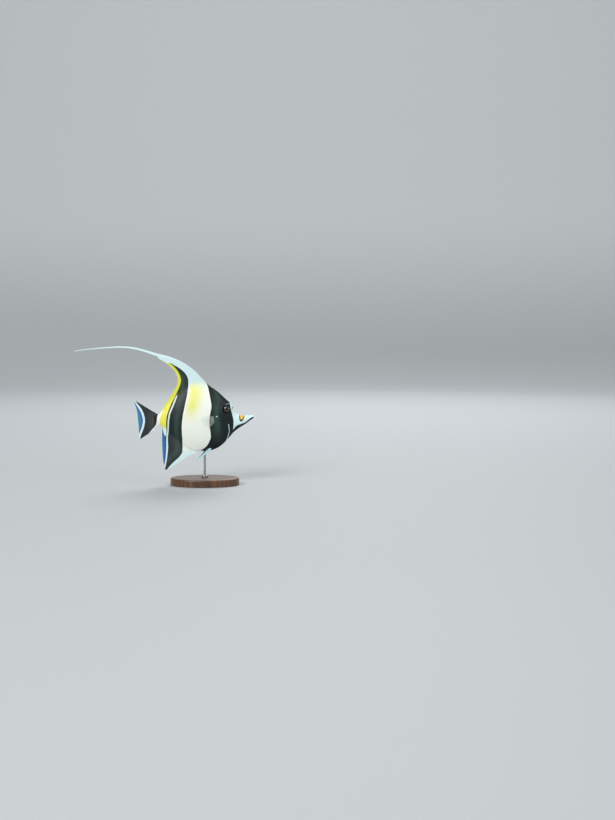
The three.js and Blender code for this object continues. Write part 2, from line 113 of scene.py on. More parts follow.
body = {
    "snoutX": 80.4,
    "snoutRound": 1.4,
    "peduncleX": -76.4,
    "back": [
        (-76.4, 59.6), (-71.5, 61.6), (-61.8, 70.9), (-47, 85.6), (-26, 101.2), (-6.5, 107), (11.4, 103.6),
        (22.8, 95.8), (33.5, 85.8), (41, 79), (44.4, 74.6), (46.2, 69.8), (48.75, 65.1), (51.2, 61.8),
        (54.5, 59.4), (59, 58.2), (65, 57.6), (70, 57.5), (74.5, 57.5), (77.6, 57.8), (79.4, 57.3),
        (80.4, 56.2)],
    "belly": [
        (-76.4, 41.4), (-71.5, 41.5), (-66, 38.4), (-55.3, 29), (-35.8, 13), (-16.3, 2.4), (0, 0),
        (16.3, 2.9), (29.3, 10.8), (39, 21.1), (48.8, 31.8), (58.5, 39),
        (68.3, 45.2), (74.8, 50.4), (78.2, 52.5), (80.4, 54.4)],
    "halfWidth": [
        (-76.4, 3.2), (-71, 3.6), (-62, 4.7), (-47, 7), (-26, 10.2), (-6, 12.4), (12, 13), (26, 12.2),
        (36, 10.6), (46, 8.2), (54, 6.3), (62, 5), (70, 4), (76, 3.3), (78.6, 3), (80.4, 1.7)],
    "fullness": [(-76.4, 0.6), (-50, 0.72), (0, 0.8), (20, 0.74), (40, 0.62), (60, 0.52), (80.4, 0.5)],
    "backRidge": [
        (-76.4, 1.1), (-40, 1.05), (10, 1.1), (15, 0.85), (21, 0.45), (25, 0.4), (29, 0.4), (80.4, 0.4)],
    "bellyRidge": [
        (-76.4, 1.1), (-40, 1.05), (-7, 1.05), (-2, 0.7), (5, 0.45), (9, 0.4), (13, 0.4), (80.4, 0.4)],
    "rows": 132,
    "columnsPerRay": 7,
    "snoutColumns": 8,
    "headColumns": [(79, 104), (45, 65), (27, 43)],  # where each stretch starts and how many columns it has
    "tailColumns": 19,
    "headX": 8,  # the head's relief lies ahead of it
    "ridgeFade": 0.35,
}
swing = {"start": -30, "tailEnd": -114, "reach": 7}

backAt = profile(body["back"])
bellyAt = profile(body["belly"])
halfWidthAt = profile(body["halfWidth"])
fullnessAt = profile(body["fullness"])
backRidgeAt = profile(body["backRidge"])
bellyRidgeAt = profile(body["bellyRidge"])


def swayAt(x):
    share = np.maximum(0, (swing["start"] - x) / (swing["start"] - swing["tailEnd"]))
    return swing["reach"] * share * share


def flankAt(x, angle):
    top, bottom = backAt(x), bellyAt(x)
    middle = (top + bottom) / 2
    level = np.cos(angle)
    z = middle + (top - middle) * level
    ridge = np.where(level > 0, backRidgeAt(x), bellyRidgeAt(x))
    y = ridge + (halfWidthAt(x) - ridge) * np.abs(np.sin(angle)) ** (2 * fullnessAt(x))
    return y, z


def flankDepth(x, z):
    middle = (backAt(x) + bellyAt(x)) / 2
    level = np.clip((z - middle) / (backAt(x) - middle), -1, 1)
    return float(flankAt(np.array(x, float), np.arccos(level))[0])


# The lines drawn on the fish

marks = {
    "faceEdge": [(39.4, 86), (41.5, 77), (43.4, 68), (45.2, 61.4), (46.4, 56), (47.5, 50.4), (47.6, 44.6),
                 (47, 38), (45.6, 24)],
    "chin": [(84, 56.2), (78, 55.3), (73.9, 52.9), (69.1, 49), (65, 46.2), (59.3, 44.2), (53, 41.7),
             (47.9, 36.6), (44, 29)],
    "mouth": [(83, 55.75), (79, 55.15), (76.6, 54.5), (73.4, 52.8)],
    "gill": [(14, 114), (19, 101), (23.5, 86), (26.2, 70), (27, 56), (28.4, 44), (33, 32), (40.5, 20),
             (48, 8)],
    "whiteFront": [
        (-3, 120), (2.6, 111.3), (5.4, 106), (8.3, 95), (10.6, 84), (12.2, 73), (10.4, 62.6), (8.7, 50.4),
        (9.6, 38.2), (10.8, 25), (9.4, 18.7), (4.5, 9.4), (-1.9, 3.6), (-12, -3)],
    "whiteRear": [
        (-90, 136), (-74, 140.6), (-64, 142.6), (-56, 142.8), (-48.6, 139.5), (-40.1, 134.5), (-31.6, 127),
        (-26.6, 118), (-26, 108), (-26.9, 96.7), (-28.9, 84.5), (-32, 70), (-34.8, 55.3), (-36.4, 38.2),
        (-35.9, 18.7), (-36.3, 0), (-37.7, -4.6), (-41.8, -10.3), (-47.9, -15.8), (-54, -21.7), (-59, -27.2),
        (-66, -36)],
    "yellowFront": [
        (-72, 146), (-62, 143.6), (-56.4, 142.4), (-52, 139.3), (-47.9, 135.7), (-42.9, 129.6),
        (-39.6, 122.5), (-37.8, 115), (-39.7, 106.4), (-43.6, 97.2), (-48.5, 87), (-53.7, 77.2),
        (-57.5, 67.4), (-60.3, 59.3), (-61.8, 50), (-62.2, 40), (-61.9, 32), (-64, 24), (-72, 18)],
    "tailEdge": [(-92, 112), (-80, 86), (-73, 70), (-74, 62.5), (-75.2, 60), (-76.8, 55.4), (-77.7, 48.2),
                 (-79.1, 42.8), (-82.2, 38.3), (-86, 34.2), (-90, 29.5)],
    "whiteLine": [
        (-42.9, 95), (-46.5, 85.5), (-49.7, 77.2), (-52.9, 69.2), (-55.8, 62.6), (-57.5, 55), (-58.5, 47.9),
        (-58.9, 40), (-59.6, 32.5), (-60.8, 26), (-61.3, 20), (-61.3, 13.8), (-61.1, 7.3), (-61.4, 0.8),
        (-62.1, -5.7), (-62.8, -12.2), (-64, -18.7), (-65.5, -27)],
    "fringeEdge": [
        (-100, 15), (-88, 25), (-78, 35), (-72, 40.2), (-69.4, 39.6), (-68.4, 35.5), (-67.2, 30),
        (-65.4, 25), (-64.1, 20), (-63.5, 15), (-63.2, 9.75), (-62.8, 2), (-63.4, -6), (-64.2, -13),
        (-65.4, -19), (-67, -27), (-69, -38)],
    "tailCrescent": [
        (-120, 87.5), (-115.2, 81.8), (-108.2, 72.1), (-102.9, 63.9), (-99.8, 54.8), (-99.2, 47.6),
        (-101.5, 36.8), (-105.3, 27.4), (-106.8, 20.6), (-107.8, 14)],
    "cheekLine": [(39.5, 44), (40.4, 38), (40.4, 32), (38.6, 25), (35.6, 17)],
    "browLine": [(45.4, 74.6), (42.6, 76.6), (38.6, 77.1), (34.6, 76.2)],
    "lateralLine": [(26, 74), (16, 84), (2, 90), (-14, 90), (-30, 82), (-45, 69), (-56, 57), (-66, 51.5),
                    (-76, 50)],
}
saddle = {"at": (61, 58.6), "lean": 0.12, "halfLength": 4.4, "depth": 10.3, "line": 1.3}
eye = {"at": (36.2, 67.8), "radius": 6.2, "bulge": 3.4, "proud": 1.1, "rings": 28, "turns": 72,
       "rim": 0.65, "rimReach": 0.9, "rimWidth": 0.8, "cup": 2.6, "cupSlope": 1.4, "cupEdge": 0.1}
nostrils = {"at": [(46.8, 62.8), (49, 60.8)], "radius": 0.55, "depth": 0.9, "rim": 0.22, "rimReach": 0.95,
            "rimWidth": 0.3}
gillCover = {"lift": 0.55, "reach": 7, "edge": 0.25, "groove": 0.45, "grooveWidth": 0.5, "foot": (12, 24),
             "top": (84, 92)}
mouth = {"lip": 0.3, "lipReach": 0.75, "lipWidth": 0.5, "slit": 0.75, "slitWidth": 0.28,
         "corner": (72.6, 74.5), "tipX": 79.2, "tipZ": 55.4, "tipSlit": 0.9, "tipWidth": 0.3}
horn = {"at": (44.6, 69.4), "length": 3.6, "radius": 1.5, "bow": 0.8, "girth": 0.12, "tipRadius": 0.02,
        "lean": 28, "splay": 45, "sunk": 2, "inset": 0.2, "mound": 0.9, "moundWidth": 1.9,
        "steps": 16, "turns": 20}
finPad = {"at": (20.5, 54), "halfLength": 3, "halfHeight": 5, "lift": 0.9}
lateralLine = {"lift": 0.14, "width": 0.5, "front": (24, 27)}


# What stands out of the flank or sinks into it, in millimetres
def reliefAt(x, z):
    lift = np.zeros(x.shape)
    head = x > body["headX"]
    hx, hz = x[head], z[head]
    ahead = sideDistance(marks["gill"], hx, hz)
    edge = gillCover["edge"]
    raised = gillCover["lift"] * np.clip(1 - ahead / gillCover["reach"], 0, 1) * smooth(ahead, -edge, edge)
    raised -= gillCover["groove"] * hill(ahead + gillCover["grooveWidth"], gillCover["grooveWidth"])
    raised *= smooth(hz, *gillCover["foot"]) * (1 - smooth(hz, *gillCover["top"]))
    # the lips meet in a fine slit
    off = sideDistance(marks["mouth"], hx, hz)
    lips = mouth["lip"] * hill(np.abs(off) - mouth["lipReach"], mouth["lipWidth"])
    raised += smooth(hx, *mouth["corner"]) * (lips - mouth["slit"] * hill(off, mouth["slitWidth"]))
    # the eye's cup and its raised rim
    r = np.hypot(hx - eye["at"][0], hz - eye["at"][1])
    rim = eye["radius"] + eye["rimReach"]
    raised += eye["rim"] * hill(r - rim, eye["rimWidth"])
    raised -= eye["cup"] * (1 - smooth(r, eye["radius"] - eye["cupSlope"], rim - eye["cupEdge"]))
    for nx, nz in nostrils["at"]:
        r = np.hypot(hx - nx, hz - nz)
        raised += nostrils["rim"] * hill(r - nostrils["rimReach"], nostrils["rimWidth"])
        raised -= nostrils["depth"] * hill(r, nostrils["radius"])
    # the little mound under each horn, and the pad of flesh that carries the pectoral fin
    r = np.hypot(hx - horn["at"][0], hz - horn["at"][1])
    raised += horn["mound"] * hill(r, horn["moundWidth"])
    px, pz = (hx - finPad["at"][0]) / finPad["halfLength"], (hz - finPad["at"][1]) / finPad["halfHeight"]
    raised += finPad["lift"] * hill(np.hypot(px, pz), 1)
    lift[head] = raised
    off = sideDistance(marks["lateralLine"], x, z)
    behind = 1 - smooth(x, *lateralLine["front"])
    return lift + lateralLine["lift"] * hill(off, lateralLine["width"]) * behind


# The fins of the middle line, each one a sheet of rays that grows out of the body's ridge

dorsal = {
    "front": 12.2, "rear": -71.4, "rays": 40, "rows": 54,
    "leading": [(12.2, 103.7), (5.6, 109), (-1.8, 116.4), (-11.3, 126.4), (-21.8, 136), (-31.8, 142.6),
                (-45.3, 149.2), (-59, 154.1), (-75.75, 158)],
    "trailing": [(-77.05, 153.7), (-74, 150), (-68.3, 146.6), (-61.4, 142.4), (-54.4, 136.6), (-47, 128),
                 (-43.1, 117), (-44.4, 107.4), (-50.3, 96.7), (-57.4, 86), (-64, 75.2), (-69.4, 66.6),
                 (-72, 63)],
    "tipShare": 0.075, "fleshRows": 0.08,
}
anal = {
    "front": -6.5, "rear": -68.3, "rows": 38, "rays": 30,
    "leading": [(-6.5, 0), (-15, -3.2), (-26, -8.6), (-40.6, -18.6), (-53, -27), (-62.4, -31.9)],
    "trailing": [(-65.2, -29.8), (-67.2, -20), (-68.4, -9), (-69.2, 4), (-69.5, 17), (-69.2, 29),
                 (-68.8, 38.8)],
    "tipShare": 0.04, "fleshRows": 0.1,
}
caudal = {
    "upper": [(-76.4, 59.6), (-88.6, 66.7), (-102.6, 75.1), (-116.6, 83.2)],
    "lower": [(-76.4, 41.4), (-84.5, 33.2), (-95, 25.4), (-107.6, 17.4)],
    "rear": [(-116.6, 83.2), (-111, 66.5), (-108.8, 49), (-107.6, 33), (-107.6, 17.4)],
    "rays": 22, "columns": 78, "fleshEnd": 0.3,
}
streamer = {
    "line": [(-76.4, 155.85), (-84.5, 158.4), (-97.5, 162.5), (-110.5, 165.9), (-123.5, 168),
             (-136.5, 168.6), (-151, 168), (-168, 167), (-191.5, 164.8), (-209.5, 162.2)],
    "halfHeight": (2.25, 0.45), "halfThick": (0.8, 0.3), "edgeHalf": 0.08, "steps": 170, "sway": 9,
    "taper": 0.7, "joinReach": 0.02, "tipReach": 0.03, "tipShare": 0.25,
    "above": 120, "whiteX": -76, "drawnRows": (0.55, 1), "drawnColumns": 7,
}
finHalf = {"ray": (1.0, 0.3), "membrane": (0.62, 0.17), "taper": 0.6, "forks": (0.5, 0.75)}
finSwell = {"down": 6, "up": 9, "downShare": 0.35, "upShare": 0.6, "start": 8, "rootRows": 0.1,
            "rowSpread": 1.15, "bowFade": 1.5}


# Half the thickness across rays that stand at whole phases and fork towards the margin, and their crests
def rayHalf(phase, v, fin=finHalf):
    single = (0.5 + 0.5 * np.cos(2 * np.pi * phase)) ** 2
    forked = (0.5 - 0.5 * np.cos(4 * np.pi * phase)) ** 2
    crest = mix(single, forked, smooth(v, *fin["forks"]))
    share = np.clip(v, 0, 1) ** fin["taper"]
    return mix(mix(*fin["membrane"], share), mix(*fin["ray"], share), crest), crest


# How far the flank swells out over the ridge where it rises into a fin, d above the ridge's line
def swellAt(xs, d, reach, ridgeAt):
    tall = (backAt(xs) - bellyAt(xs)) / 2
    down = np.minimum(finSwell["down"], finSwell["downShare"] * tall)
    up = np.minimum(finSwell["up"], finSwell["upShare"] * reach)
    ridge = ridgeAt(xs)

    def bulge(depth):
        angle = np.arccos(np.clip(1 - depth / tall, -1, 1))
        return (halfWidthAt(xs) - ridge) * np.sin(angle) ** (2 * fullnessAt(xs))
    start, slope = bulge(down), (bulge(down - 0.1) - bulge(down + 0.1)) / 0.2
    t = np.clip((d + down) / (down + up), 0, 1)
    s = 1 - t
    return start * (1 + 2 * t) * s * s + slope * (down + up) * t * s * s, down


def medianFin(fin, xs, rootAt, ridgeAt):
    u = np.linspace(0, 1, len(xs))[:, None]
    v = np.linspace(0, 1, fin["rows"] + 1)[None, :] ** finSwell["rowSpread"]
    leading, trailing = curve(fin["leading"]), curve(fin["trailing"])
    tip, first = leading(1.0), leading(0.0)
    share = fin["tipShare"]
    along = np.clip((u - share) / (1 - share), 0, 1)
    tipLine = tip + (trailing(0.0) - tip) * (u / share)[..., None]
    margin = np.where((u < share)[..., None], tipLine, trailing(along))
    root = np.stack([xs, rootAt(xs)], -1)[:, None, :]
    bow = leading(v) - (first + (tip - first) * v[..., None])
    place = root + (margin - root) * v[..., None] + bow * ((1 - u) ** finSwell["bowFade"])[..., None]
    half, crest = rayHalf(u * fin["rays"] + 0 * v, v)
    half = mix(ridgeAt(xs)[:, None], half, smooth(v, 0, finSwell["rootRows"]))
    out = np.linalg.norm(place - root, axis=-1)
    fade = smooth(fin["front"] - xs, 0, finSwell["start"])[:, None]
    half = half + fade * swellAt(xs[:, None], out, out[:, -1:], ridgeAt)[0]
    flesh = smooth(np.linspace(0, 1, fin["rows"] + 1), 0, fin["fleshRows"])[None, :] + 0 * half
    return [place[..., 0], half, place[..., 1], crest, flesh], out[:, -1:]


def streamerSway(x):
    start, end = streamer["line"][0][0], streamer["line"][-1][0]
    share = (start - x) / (start - end)
    slope = (swayAt(start - 1) - swayAt(start)) * (start - end)
    return swayAt(start) + slope * share * (1 - share) - streamer["sway"] * share * share


# The tail carries the peduncle's columns on, and its flesh thins into rays
def tailSheet(angle, peduncleHalf):
    v = np.linspace(0, 1, caudal["columns"] + 1)[1:, None]
    upper, lower, rear = curve(caudal["upper"]), curve(caudal["lower"]), curve(caudal["rear"])
    even = np.linspace(0, 1, body["rows"] + 1)[None, :]
    down = mix((1 - np.cos(angle)) / 2, even, smooth(v, 0, 0.5))[..., None]
    flat = upper(1.0) * (1 - down) + lower(1.0) * down
    place = upper(v) * (1 - down) + lower(v) * down + (rear(down[..., 0]) - flat) * v[..., None]
    half, crest = rayHalf(even * caudal["rays"] + 0 * v, v)
    flesh = 1 - smooth(v, 0, caudal["fleshEnd"])
    x = np.minimum(place[..., 0], body["peduncleX"])
    return x, mix(half, peduncleHalf, flesh), place[..., 1], crest * (1 - flesh), 1 - flesh + 0 * crest


# The streamer carries the dorsal fin's first rays, where it starts, on to a fine tip
def streamerSheet(across, startX, startHalf, startZ):
    t = np.linspace(0, 1, streamer["steps"] + 1)
    path = curve(streamer["line"])
    centre = path(t)
    step = path(np.minimum(t + 1e-3, 1)) - path(np.maximum(t - 1e-3, 0))
    step /= np.linalg.norm(step, axis=1)[:, None]
    reach = np.linalg.norm(np.diff(centre, axis=0), axis=1).cumsum()
    reach = np.concatenate([[0], reach]) / reach[-1]
    close = np.minimum(1, (1 - reach) / streamer["tipReach"] + streamer["tipShare"])
    high = mix(*streamer["halfHeight"], reach ** streamer["taper"]) * close
    thick = mix(*streamer["halfThick"], reach ** streamer["taper"]) * close
    x = centre[None, :, 0] - step[None, :, 1] * high * across
    z = centre[None, :, 1] + step[None, :, 0] * high * across
    half = np.sqrt(np.maximum(0, 1 - across ** 2)) * thick[None, :] + streamer["edgeHalf"]
    ease = np.exp(-reach / streamer["joinReach"])[None, :]
    x, half, z = (part + (start[:, None] - part[:, :1]) * ease
                  for part, start in ((x, startX), (half, startHalf), (z, startZ)))
    return x, half, z, 0 * x, 0 * x + 1


# One continuous skin, in sheets of x, half thickness, z, ray crest and fin share, and the rims between them
def makeSkin():
    finColumns = dorsal["rays"] * body["columnsPerRay"]
    snoutBow = 1 - np.cos(np.linspace(0, np.pi / 2, body["snoutColumns"] + 1)[:-1])
    stretches = [body["snoutX"] - body["snoutRound"] * snoutBow]
    ends = [start for start, columns in body["headColumns"][1:]] + [dorsal["front"]]
    for (start, columns), end in zip(body["headColumns"], ends):
        stretches.append(np.linspace(start, end, columns + 1)[:-1])
    dorsalStart = sum(len(part) for part in stretches)
    dorsalEnd = dorsalStart + finColumns
    finXs = np.linspace(dorsal["front"], dorsal["rear"], finColumns + 1)
    tailXs = np.linspace(dorsal["rear"], body["peduncleX"], body["tailColumns"] + 1)[1:]
    xs = np.concatenate(stretches + [finXs, tailXs])
    analStart, analEnd = (int(np.argmin(np.abs(xs - anal[end]))) for end in ("front", "rear"))

    angle = np.linspace(0, np.pi, body["rows"] + 1)[None, :]
    half, z = flankAt(xs[:, None], angle)
    x = np.broadcast_to(xs[:, None], z.shape).copy()
    lift = reliefAt(x.ravel(), z.ravel()).reshape(x.shape)
    half = half + lift * smooth(np.sin(angle), 0, body["ridgeFade"])

    # the flank rises into the fins over its ridges
    dorsalFin, dorsalReach = medianFin(dorsal, finXs, backAt, backRidgeAt)
    analFin, analReach = medianFin(anal, xs[analStart:analEnd + 1], bellyAt, bellyRidgeAt)
    for fin, first, last, reach, up, ridgeAt in (
            (dorsal, dorsalStart, dorsalEnd, dorsalReach, z - backAt(xs)[:, None], backRidgeAt),
            (anal, analStart, analEnd, analReach, bellyAt(xs)[:, None] - z, bellyRidgeAt)):
        rows = slice(first, last + 1)
        column = xs[rows, None]
        swell, down = swellAt(column, up[rows], reach, ridgeAt)
        fade = smooth(fin["front"] - column, 0, finSwell["start"]) * (up[rows] > -down)
        half[rows] = mix(half[rows], ridgeAt(column) + swell, fade)
    # the slit of the mouth also runs round the tip of the snout
    atTip = smooth(x, mouth["tipX"], body["snoutX"])
    x = x - mouth["tipSlit"] * hill(z - mouth["tipZ"], mouth["tipWidth"]) * atTip
    trunk = (x, half, z, 0 * x, 0 * x)
    flank = [np.vstack(pair) for pair in zip(trunk, tailSheet(angle, half[-1:]))]

    # the streamer's first rays draw together to a round cord before they leave the dorsal fin
    tips = int(round(dorsal["tipShare"] * finColumns)) + 1
    across = np.linspace(-1, 1, tips)[:, None]
    roundEdge = np.sqrt(np.maximum(0, 1 - across ** 2)) * streamer["halfThick"][0] + streamer["edgeHalf"]
    rowShare = smooth(np.linspace(0, 1, dorsal["rows"] + 1), *streamer["drawnRows"])[None, :]
    dorsalFin[1][:tips] = mix(dorsalFin[1][:tips], roundEdge, rowShare)
    near = np.arange(len(finXs)) < tips + streamer["drawnColumns"]
    dorsalFin[3] = dorsalFin[3] * (1 - rowShare * near[:, None])
    drawnOut = streamerSheet(across, *(part[:tips, -1] for part in dorsalFin[:3]))

    whole = slice(None)
    rims = [(flank, cut) for cut in (
        (0, whole), (-1, whole), (slice(0, dorsalStart + 1), 0), (slice(dorsalEnd, None), 0),
        (slice(0, analStart + 1), -1), (slice(analEnd, None), -1))]
    for sheet, edge in ((dorsalFin, slice(tips - 1, None)), (drawnOut, whole), (analFin, whole)):
        rims += [(sheet, (0, whole)), (sheet, (-1, whole)), (sheet, (edge, -1))]
    return [flank, dorsalFin, drawnOut, analFin], [[part[cut] for part in sheet] for sheet, cut in rims]


def around(turns):
    return np.linspace(0, 2 * np.pi, turns + 1)[None, :-1]


def gridFaces(rows, columns):
    index = np.arange(rows * columns).reshape(rows, columns)
    return np.stack([index[:-1, :-1], index[1:, :-1], index[1:, 1:], index[:-1, 1:]], -1).reshape(-1, 4)


def tubeFaces(rings, turns):
    index = np.arange(rings * turns).reshape(rings, turns)
    beside = np.roll(index, -1, axis=1)
    return np.stack([index[:-1], beside[:-1], beside[1:], index[1:]], -1).reshape(-1, 4)


# Sheets are mirrored to both sides, rims are closed with strips, and shared edges are welded
def weldSheets(sheets, rims):
    points, values, quads = [], [], []

    def addGrid(grid, value, turned):
        base = sum(len(p) for p in points)
        quad = gridFaces(*grid.shape[:2]) + base
        quads.append(quad[:, ::-1] if turned else quad)
        points.append(grid.reshape(-1, 3))
        values.append(value.reshape(-1, value.shape[-1]))

    for x, half, z, ray, fin in sheets:
        for side in (-1, 1):
            addGrid(np.stack([x, side * half, z], -1), np.stack([ray, fin], -1), side > 0)
    for x, half, z, ray, fin in rims:
        grid = np.stack([np.stack([x, side * half, z], -1) for side in (-1, 1)])
        addGrid(grid, np.stack([np.stack([ray, fin], -1)] * 2), False)
    points, values, quads = np.vstack(points), np.vstack(values), np.vstack(quads)
    first, home = np.unique(np.round(points, 4), axis=0, return_index=True, return_inverse=True)[1:]
    return points[first], values[first], home.reshape(-1)[quads]


def objectFrom(name, points, faces, material):
    mesh = bpy.data.meshes.new(name)
    mesh.from_pydata(points.tolist(), [], faces.tolist() if isinstance(faces, np.ndarray) else faces)
    mesh.validate()
    mesh.update()
    mesh.shade_smooth()
    mesh.materials.append(material)
    made = bpy.data.objects.new(name, mesh)
    bpy.context.scene.collection.objects.link(made)
    return made


def addValues(made, **values):
    for name, value in values.items():
        layer = made.data.attributes.new(name, "FLOAT", "POINT")
        layer.data.foreach_set("value", np.asarray(value, np.float32))


def turnOutwards(made, weld=0):
    work = bmesh.new()
    work.from_mesh(made.data)
    if weld:
        bmesh.ops.remove_doubles(work, verts=work.verts, dist=weld)
    bmesh.ops.recalc_face_normals(work, faces=work.faces)
    work.to_mesh(made.data)
    work.free()


# A tube of rings in metres, closed by a flat face at both ends
def closedTube(name, points, rings, turns, material):
    faces = tubeFaces(rings, turns).tolist()
    faces += [list(range(turns))[::-1], list(range((rings - 1) * turns, rings * turns))]
    made = objectFrom(name, points, faces, material)
    turnOutwards(made)
    return made


# From the fish's millimetres to the table's metres, bent with the tail unless another sway is given
def toWorld(points, sway=None):
    placed = np.array(points, float)
    placed[:, 1] += swayAt(placed[:, 0]) if sway is None else sway
    placed[:, 2] += bellyHeight / mm
    return placed * mm


# Materials

def put(tree, kind, inputs=None, **settings):
    made = tree.nodes.new("ShaderNode" + kind)
    for key, value in settings.items():
        setattr(made, key, value)
    for key, value in (inputs or {}).items():
        if isinstance(value, bpy.types.NodeSocket):
            tree.links.new(value, made.inputs[key])
        else:
            made.inputs[key].default_value = value
    return made


def newMaterial(name, constants):
    material = bpy.data.materials.new(name)
    material.use_nodes = True
    tree = material.node_tree
    tree.nodes.clear()
    shader = put(tree, "BsdfPrincipled", constants)
    put(tree, "OutputMaterial", {"Surface": shader.outputs[0]})
    return material, tree, shader, put(tree, "TexCoord").outputs["Object"]


def wire(tree, shader, sockets):
    for name, value in sockets.items():
        tree.links.new(value, shader.inputs[name])


def linear(*levels):
    shares = (level / 255 for level in levels)
    return tuple(((c + 0.055) / 1.055) ** 2.4 if c > 0.04 else c / 12.92 for c in shares) + (1,)


def blend(tree, share, first, second):
    return put(tree, "Mix", {0: share, 6: first, 7: second}, data_type="RGBA").outputs[2]


def stored(tree, name):
    return put(tree, "Attribute", attribute_name=name).outputs["Fac"]


def ramp(tree, value, low, high, start=0.0, end=1.0):
    inputs = {0: value, 1: low, 2: high, 3: start, 4: end}
    return put(tree, "MapRange", inputs, interpolation_type="SMOOTHSTEP").outputs[0]


def maths(tree, operation, a, b):
    return put(tree, "Math", {0: a, 1: b}, operation=operation).outputs[0]


def noise(tree, place, scale, detail=2.0, distortion=0.0):
    inputs = {"Vector": place, "Scale": scale, "Detail": detail, "Distortion": distortion}
    return put(tree, "TexNoise", inputs).outputs[0]


def stretched(tree, place, *scale):
    return put(tree, "Mapping", {"Vector": place, "Scale": scale}).outputs[0]


def bump(tree, height, strength, distance=0.0001):
    return put(tree, "Bump", {"Height": height, "Strength": strength, "Distance": distance}).outputs[0]


skinLook = {
    "black": linear(16, 26, 28),
    "blackSheen": linear(48, 72, 63),
    "white": linear(241, 245, 236),
    "coolWhite": linear(216, 240, 242),
    "lemonWash": linear(232, 232, 118),
    "lemon": linear(240, 232, 88),
    "finLemon": linear(224, 226, 64),
    "paleBlue": linear(176, 216, 230),
    "fringe": linear(18, 92, 168),
    "fringeOuter": linear(58, 126, 172),
    "saddle": linear(246, 190, 62),
    "ray": linear(120, 128, 120),
    "rayShare": 0.16,
    "softEdge": 0.32,
    "scale": 0.85,  # millimetres
}


def skinMaterial():
    look = skinLook
    material, tree, shader, place = newMaterial("idolSkin", {"Roughness": 0.42, "Specular IOR Level": 0.32})
    wobble = ramp(tree, noise(tree, place, 900.0), 0.2, 0.8, -0.14, 0.14)
    cloud = noise(tree, place, 90.0, 3.0)

    def region(name, soft=look["softEdge"]):
        return ramp(tree, maths(tree, "ADD", stored(tree, name), wobble), -soft, soft)

    # black with a green-grey sheen down the middle of each band
    sheen = maths(tree, "MULTIPLY", stored(tree, "bandSheen"), ramp(tree, cloud, 0.3, 0.7, 0.55, 1.0))
    colour = blend(tree, sheen, look["black"], look["blackSheen"])
    # the white flank, washed with lemon high up towards the rear
    flank = blend(tree, stored(tree, "coolness"), look["white"], look["coolWhite"])
    wash = maths(tree, "MULTIPLY", stored(tree, "lemonWash"), ramp(tree, cloud, 0.2, 0.8, 0.85, 1.0))
    flank = blend(tree, wash, flank, look["lemonWash"])
    # the yellow rear, whiter at the tail's root and paler at the anal fin's
    rear = blend(tree, stored(tree, "finTop"), look["lemon"], look["finLemon"])
    rear = blend(tree, stored(tree, "rootWhite"), rear, look["white"])
    rear = blend(tree, stored(tree, "analPale"), rear, look["coolWhite"])
    fringe = blend(tree, stored(tree, "fringeFade"), look["fringe"], look["fringeOuter"])
    for share, paint in (
            (region("whiteBand"), flank), (region("face"), look["coolWhite"]),
            (region("saddleEdge"), look["black"]), (region("saddle"), look["saddle"]),
            (region("yellow"), rear), (region("fringe", 0.9), fringe),
            (region("whiteLines"), look["coolWhite"]), (region("blueLines", 0.2), look["paleBlue"]),
            # the pale spot at the pectoral fin's base: partly the base's own pale colour, partly a painted
            # highlight
            (ramp(tree, stored(tree, "finBaseSpot"), 0.0, 0.6), look["paleBlue"]),
            (ramp(tree, stored(tree, "nostril"), 0.0, 0.7), look["blackSheen"]),
            # rays read a little darker on white and a little lighter on black
            (maths(tree, "MULTIPLY", stored(tree, "ray"), look["rayShare"]), look["ray"])):
        colour = blend(tree, share, colour, paint)

    # fine scales on the body, a finer grain all over
    perMetre = 1000 / look["scale"]
    turned = put(tree, "Mapping", {"Vector": place, "Rotation": (0, math.radians(45), 0),
                                   "Scale": (perMetre, 0, perMetre)}).outputs[0]
    cells = put(tree, "TexVoronoi", {"Vector": turned, "Scale": 1.0, "Randomness": 0.35}).outputs["Distance"]
    onBody = maths(tree, "SUBTRACT", 1.0, stored(tree, "fin"))
    scales = maths(tree, "MULTIPLY", ramp(tree, cells, 0.1, 0.6, 1.0, 0.0), onBody)
    height = maths(tree, "ADD", scales, maths(tree, "MULTIPLY", noise(tree, place, 2500.0), 0.35))
    wire(tree, shader, {"Base Color": colour, "Normal": bump(tree, height, 0.35, 0.00012),
                        "Roughness": ramp(tree, cloud, 0.3, 0.7, 0.36, 0.5)})
    return material


# Half widths of what is painted along the drawn lines and where each colour fades, in millimetres
drawn = {
    "whiteLine": 1.2, "whiteLineTop": (86, 94), "lineFoot": 0.3, "footTop": (8, 20), "footEnd": (-14, 2),
    "crescent": (1.75, 0.9), "crescentTips": (20, 33), "crescentRear": 1.6, "tailMiddle": 49,
    "cheekLine": 0.55, "browLine": 0.24, "browClear": 1, "nostril": 0.6,
    # where the pale spot at the pectoral fin's base lies, partly a painted highlight
    "spotAndHighlightAt": (21, 57), "spotAndHighlightHalf": (2, 1.3),
    "frontSheenX": 21, "frontSheen": 6, "frontSheenFoot": (10, 40),
    "rearSheenIn": 9, "rearSheen": 5, "rearSheenShare": 0.8,
    "washRear": (-1, 8), "washFront": (12, 32), "washFoot": (40, 78), "washTop": (100, 116),
    "coolTop": (98, 116), "coolFoot": (-8, 8), "tailWhite": (3.4, 6.2), "tailWhiteTop": 66,
    "analPale": (30, 43), "finTop": (0, 8), "fringeFade": (1.5, 6),
    "tailX": -92, "tailTop": 100, "analX": -80, "analTop": 42, "far": 9,
}


